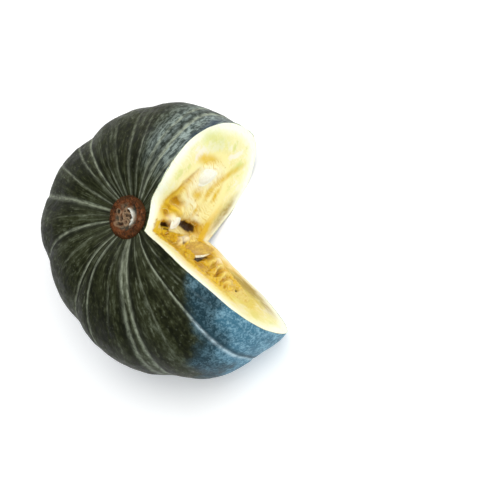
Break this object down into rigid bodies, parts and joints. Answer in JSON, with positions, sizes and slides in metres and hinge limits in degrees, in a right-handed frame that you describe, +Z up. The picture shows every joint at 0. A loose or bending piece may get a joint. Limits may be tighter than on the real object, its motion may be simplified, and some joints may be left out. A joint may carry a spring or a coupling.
{
  "type": "cut kabocha squash",
  "caption": "Flattened, lobed green squash standing on its blossom end, with a wedge cut out from top to bottom that bares pale flesh, stringy pulp and flat seeds.",
  "frame": {"origin": "middle of the fruit's outline, on the surface it stands on", "axes": "+Z up along the core of the fruit, the cut-out wedge opens towards -Y"},
  "size_m": [0.1698, 0.1514, 0.0853],
  "materials": {
    "rind": "dark green waxy rind, satin",
    "cork": "rough brown cork",
    "pulp": "moist orange strings",
    "seed_coat": "smooth cream seed coat"
  },
  "bodies": {
    "root": {"squash_body": "rind", "stem_scar": "cork", "seed_pulp": "pulp", "seed_01": "seed_coat", "seed_02": "seed_coat", "seed_03": "seed_coat", "seed_04": "seed_coat", "seed_05": "seed_coat", "seed_06": "seed_coat", "seed_07": "seed_coat"}
  },
  "joints": []
}
